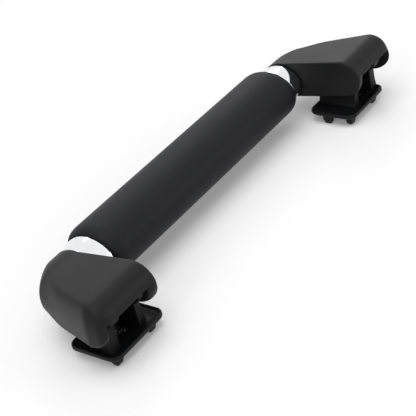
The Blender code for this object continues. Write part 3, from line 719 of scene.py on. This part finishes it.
# The tray's profile as (inset, height): outside from the feet's top, and inside from the floor.
TRAY_SKIRT = ((1.0, 0.0), (0.7, 0.15), (0.15, 0.7), (0.0, 1.0))
TRAY_FILLET = ((0.0, 0.3), (0.1, 0.1), (0.3, 0.0))
NECK_ROOT = 0.8
NECK_SHELF = 0.8
NECK_CHAMFER = 0.6
NECK_SPAN = (70.0, 120.0)
NECK_FLARE_FOOT = 3.5
NECK_FLARE_INNER = 1.6
NECK_FLARE_OUTER = 1.2
TOOL_REACH = 40.0
WALLS_TOOL_TOP = 30.0
HOLLOW_TOOL_TOP = 38.0
BORE_SPAN = (70.0, 122.0)
FOOT_LEVELS = ((0.0, 0.62), (0.25, 0.72), (FOOT_HEIGHT * 0.55, 1.0), (FOOT_HEIGHT + 0.7, 1.0))
FOOT_CORNER = 0.5
FOOT_ALONG = (4.6, 3.4)
FOOT_ACROSS = (3.4, 4.6)
FRONT_FEET_Y = -9.2
INNER_FOOT_Y = 1.6
REAR_FEET_Y = 8.7
BRACKET_BEVEL = 0.25


# %% Bracket pieces
def rounded_rectangle(x_low, x_high, y_low, y_high, radius, z):
    points = []
    for x, y, start in ((x_high - radius, y_high - radius, 0),
                        (x_low + radius, y_high - radius, 90),
                        (x_low + radius, y_low + radius, 180),
                        (x_high - radius, y_low + radius, 270)):
        points += [(px, py, z) for px, py in arc_points((x, y), radius, start, start + 90, 9)]
    return points


def build_tray(name, x_low, x_high):
    inset_and_height = [(inset, FOOT_HEIGHT + up) for inset, up in TRAY_SKIRT]
    roll = RIM_WALL / 2
    inset_and_height += [(roll - across, RIM_TOP - roll + up) for across, up in
                         arc_points((0.0, 0.0), roll, 0, 180, 8)]
    inset_and_height += [(RIM_WALL + inset, FLOOR_TOP + up) for inset, up in TRAY_FILLET]
    return loft(name, [rounded_rectangle(x_low + inset, x_high - inset, TRAY_FRONT + inset,
                                         TRAY_REAR - inset, TRAY_CORNER - inset, z)
                       for inset, z in inset_and_height])


def side_view_of_neck():
    shelf = (NECK_BACK - NECK_BACK_WALL - NECK_SHELF, NECK_TOP)
    away = Vector((shelf[0] - HINGE_Y, shelf[1] - HINGE_Z))
    touch = math.degrees(math.atan2(away.y, away.x) + math.acos(BOSS_RADIUS / away.length))
    front_angle = 180 + math.degrees(math.acos((HINGE_Y - NECK_FRONT) / BOSS_RADIUS))
    return ([(NECK_BACK, FLOOR_TOP - NECK_ROOT), (NECK_BACK, NECK_TOP - NECK_CHAMFER),
             (NECK_BACK - NECK_CHAMFER, NECK_TOP), shelf]
            + arc_points((HINGE_Y, HINGE_Z), BOSS_RADIUS, touch, front_angle, 40)
            + [(NECK_FRONT, FLOOR_TOP - NECK_ROOT)])


def mirrored(points, side):
    return [(side * x, y, z) for x, y, z in points]


def build_neck(side):
    view = side_view_of_neck()
    neck = loft("neck", [mirrored(flat(x, view), side) for x in NECK_SPAN])
    slope = (NECK_OUTER_REAR - NECK_OUTER_FRONT) / (NECK_BACK - NECK_FRONT)
    walls = []
    for y in (-TOOL_REACH, TOOL_REACH):
        inner = BRACKET_X - NECK_INNER
        outer = BRACKET_X + NECK_OUTER_FRONT + slope * (y - NECK_FRONT)
        walls.append(mirrored([(inner - NECK_FLARE_INNER, y, NECK_FLARE_FOOT),
                               (outer + NECK_FLARE_OUTER, y, NECK_FLARE_FOOT),
                               (outer, y, NECK_FLARE_HEIGHT), (outer, y, WALLS_TOOL_TOP),
                               (inner, y, WALLS_TOOL_TOP), (inner, y, NECK_FLARE_HEIGHT)], side))
    cut_with(neck, loft("walls_tool", walls), "INTERSECT")
    low = BRACKET_X - NECK_INNER + NECK_INNER_WALL
    high = BRACKET_X + NECK_OUTER_INSIDE
    hollow = [mirrored([(low, y, FLOOR_TOP), (high, y, FLOOR_TOP), (high, y, HOLLOW_TOOL_TOP),
                        (low, y, HOLLOW_TOOL_TOP)], side)
              for y in (-TOOL_REACH, NECK_BACK - NECK_BACK_WALL)]
    cut_with(neck, loft("hollow_tool", hollow))
    return neck


def build_foot(x, y, length, width):
    sections = []
    for z, share in FOOT_LEVELS:
        half_x, half_y = length / 2 * share, width / 2 * share
        sections.append(rounded_rectangle(x - half_x, x + half_x, y - half_y, y + half_y,
                                          FOOT_CORNER * share, z))
    return loft("foot", sections)


# %% Brackets: put together
def build_bracket(end, side):
    x_low = side * BRACKET_X - TRAY_LOW
    x_high = side * BRACKET_X + TRAY_HIGH
    bracket = build_tray("roof_bracket_" + end, x_low, x_high)
    cut_with(bracket, build_neck(side), "UNION")
    inner_foot = x_low + 2.4 if side > 0 else x_high - 2.7
    for x, y, size in ((x_low + 4.75, FRONT_FEET_Y, FOOT_ALONG),
                       (x_low + 25.75, FRONT_FEET_Y, FOOT_ALONG),
                       (inner_foot, INNER_FOOT_Y, FOOT_ACROSS),
                       (x_low + 9.4, REAR_FEET_Y, FOOT_ALONG),
                       (x_high - 3.4, REAR_FEET_Y, FOOT_ALONG)):
        cut_with(bracket, build_foot(x, y, *size), "UNION")
    middle = BRACKET_X + (NECK_OUTER_INSIDE - NECK_INNER + NECK_INNER_WALL) / 2
    cut_with(bracket, rod_along_z("fixing_hole", [(z, HOLE_RADIUS) for z in HOLE_LEVELS],
                                  (side * middle, HOLE_Y)))
    cut_with(bracket, rod_along_x("hinge_bore", BUSH_BORE, *sorted(side * x for x in BORE_SPAN),
                                  (HINGE_Y, HINGE_Z)))
    apply_modifier(bracket, "BEVEL", width=BRACKET_BEVEL * MM, segments=2, limit_method="ANGLE",
                   angle_limit=math.radians(50), use_clamp_overlap=True)
    bracket.data.materials.clear()
    bracket.data.materials.append(BRACKET_FINISH)
    settle(bracket, 35)
    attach(bracket, "brackets")
    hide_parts("bracket_" + end)
    return bracket


for end, side in (("near", -1), ("far", 1)):
    bracket = build_bracket(end, side)
    print(bracket.name, "faces:", len(bracket.data.polygons))

# %% [markdown]
# ## Studio
#
# The object lies on a white floor in a white world, under four lamps: a big soft one overhead, one
# behind on the far side, and two small ones at the left and the right. The camera's rays, and rays
# off metal or through glass, all see the same white. Other rays meet a greyer floor and a dimmer
# world, so the light on the object stays plain, and the floor keeps its shadow.

# %% Floor
FLOOR_SIZE = 6.0
FLOOR_LIFT = 0.14
FLOOR_GREY = (0.62, 0.62, 0.62)
FLOOR_WHITES = ((0.93, 0.93, 0.93), (0.95, 0.95, 0.95))


def shown_white(tree):
    """1 for rays that show the background: the camera's, and those off metal or through glass."""
    path = tree.nodes.new("ShaderNodeLightPath")
    shown = path.outputs["Is Camera Ray"]
    for ray in ("Is Glossy Ray", "Is Transmission Ray"):
        either = node(tree, "ShaderNodeMath", operation="MAXIMUM")
        tree.links.new(shown, either.inputs[0])
        tree.links.new(path.outputs[ray], either.inputs[1])
        shown = either.outputs[0]
    return shown


to_object_mode()
bpy.ops.mesh.primitive_plane_add(size=FLOOR_SIZE, location=(0, 0, 0))
floor = bpy.context.object
floor.name = "floor"
floor_finish, tree, shader, place = new_finish("white_sweep")
tone = span(tree, grain(tree, place, 0.002), 0.0, 1.0)
shown = shown_white(tree)
paper = node(tree, "ShaderNodeMix", data_type="RGBA")
tree.links.new(shown, paper.inputs[0])
paper.inputs[6].default_value = (*FLOOR_GREY, 1.0)
tree.links.new(two_tone(tree, tone, *FLOOR_WHITES), paper.inputs[7])
tree.links.new(paper.outputs[2], shader.inputs["Base Color"])
shader.inputs["Roughness"].default_value = 0.9
shader.inputs["Specular IOR Level"].default_value = 0.0
lift = node(tree, "ShaderNodeMath", operation="MULTIPLY")
tree.links.new(shown, lift.inputs[0])
lift.inputs[1].default_value = FLOOR_LIFT
tree.links.new(lift.outputs[0], shader.inputs["Emission Strength"])
shader.inputs["Emission Color"].default_value = (1, 1, 1, 1)
floor.data.materials.append(floor_finish)

# %% World and lamps
WORLD_LEVEL = 0.5

world = bpy.data.worlds.new("studio")
bpy.context.scene.world = world
world.use_nodes = True
tree = world.node_tree
background = tree.nodes["Background"]
background.inputs["Strength"].default_value = WORLD_LEVEL
background.inputs["Color"].default_value = (1, 1, 1, 1)
white = tree.nodes.new("ShaderNodeBackground")
white.inputs["Strength"].default_value = 1.0
white.inputs["Color"].default_value = (1, 1, 1, 1)
blend = tree.nodes.new("ShaderNodeMixShader")
tree.links.new(shown_white(tree), blend.inputs[0])
tree.links.new(background.outputs[0], blend.inputs[1])
tree.links.new(white.outputs[0], blend.inputs[2])
tree.links.new(blend.outputs[0], tree.nodes["World Output"].inputs["Surface"])


def softbox(name, place, target, size, power):
    data = bpy.data.lights.new(name, "AREA")
    data.shape = "RECTANGLE"
    data.size, data.size_y = size
    data.energy = power
    lamp = bpy.data.objects.new(name, data)
    lamp.location = place
    lamp.rotation_euler = (Vector(target) - Vector(place)).to_track_quat("-Z", "Y").to_euler()
    bpy.context.scene.collection.objects.link(lamp)


softbox("softbox_overhead", (-0.20, -0.05, 1.30), (0, 0, 0), (1.2, 1.2), 7.5)
softbox("softbox_back", (1.0, 0.75, 0.75), (0, 0, 0), (0.6, 0.45), 2.0)
softbox("softbox_left", (-1.0, -0.15, 0.65), (-0.1, 0, 0), (0.18, 0.45), 0.9)
softbox("softbox_right", (0.60, -0.80, 0.36), (-0.07, 0.03, 0.02), (0.26, 0.26), 0.9)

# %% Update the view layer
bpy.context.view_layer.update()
